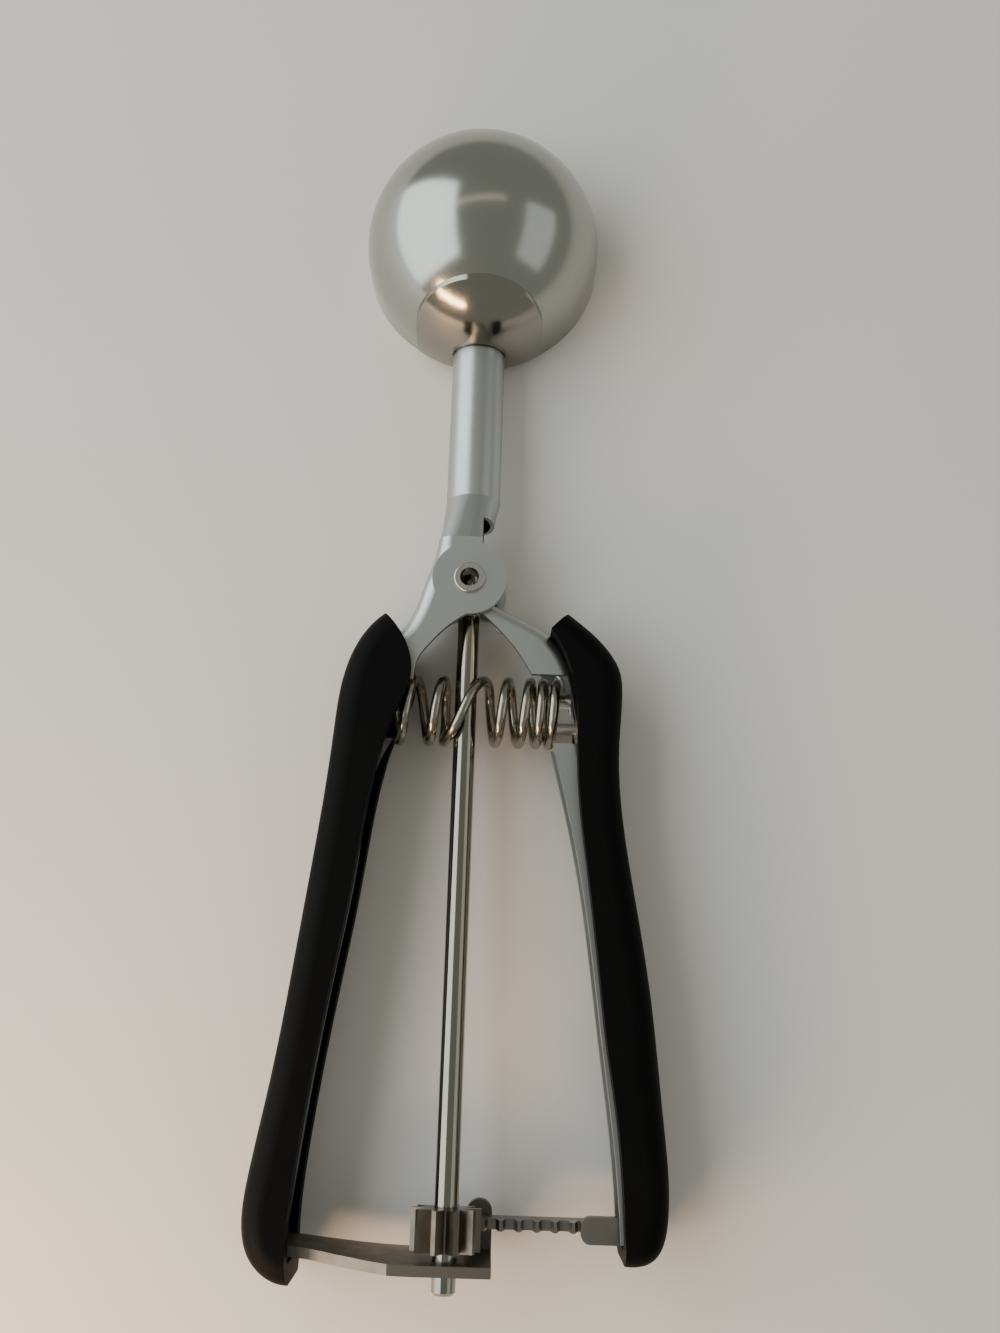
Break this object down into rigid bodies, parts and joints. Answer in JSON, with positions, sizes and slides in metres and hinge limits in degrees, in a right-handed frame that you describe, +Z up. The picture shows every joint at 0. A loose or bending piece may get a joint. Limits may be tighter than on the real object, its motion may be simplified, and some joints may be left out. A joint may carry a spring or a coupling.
{
  "type": "cookie scoop",
  "caption": "Squeeze-handle scoop: a hemispherical steel bowl with a sweeping wiper, driven by a rack and pinion between two sprung grips.",
  "frame": {"origin": "middle of the footprint, on the table under the scoop as it lies dome up", "axes": "+Y from the grips towards the bowl, +X towards the moving lever, +Z up off the table"},
  "size_m": [0.062, 0.1922, 0.025],
  "materials": {
    "bowl_steel": "satin polished stainless steel",
    "collar_steel": "polished stainless steel sheet",
    "blade_steel": "spring-tempered stainless strip",
    "rivet_steel": "plain stainless steel",
    "rod_steel": "bright drawn stainless steel",
    "pinion_steel": "cut steel gear",
    "bush_plastic": "moulded bearing plastic",
    "lever_steel": "pressed stainless steel, bright",
    "grip_rubber": "satin near-black soft rubber",
    "rack_steel": "stamped stainless steel",
    "spring_steel": "bright spring wire"
  },
  "bodies": {
    "frame": {"bowl": "bowl_steel", "bowl_collar": "collar_steel", "wiper_tip_pin": "rivet_steel", "neck_bush": "bush_plastic", "frame_lever": "lever_steel", "spindle_bracket": "lever_steel", "left_grip": "grip_rubber", "pivot_eyelet_front": "rivet_steel", "pivot_eyelet_back": "rivet_steel", "spring_stud_left": "rivet_steel", "return_spring": "spring_steel"},
    "lever": {"squeeze_lever": "lever_steel", "rack_arm": "rack_steel", "right_grip": "grip_rubber", "spring_stud_right": "rivet_steel"},
    "spindle": {"spindle_rod": "rod_steel", "drive_pinion": "pinion_steel", "wiper_blade": "blade_steel"}
  },
  "joints": [
    {"name": "lever_squeeze", "type": "hinge", "parent": "frame", "child": "lever", "pos_m": [-0.00135, 0.01063, 0.008], "axis": [0, 0, -1], "range_deg": [0, 7.7], "stiffness_Nm_per_rad": 6, "deforming": ["return_spring"]},
    {"name": "spindle_spin", "type": "hinge", "parent": "frame", "child": "spindle", "pos_m": [-0.00135, 0.01063, 0.008], "axis": [0, 0.9985, -0.0541], "range_deg": [0, 178]}
  ],
  "couplings": [
    {"joint": "spindle_spin", "follows": "lever_squeeze", "ratio": 23.059}
  ]
}
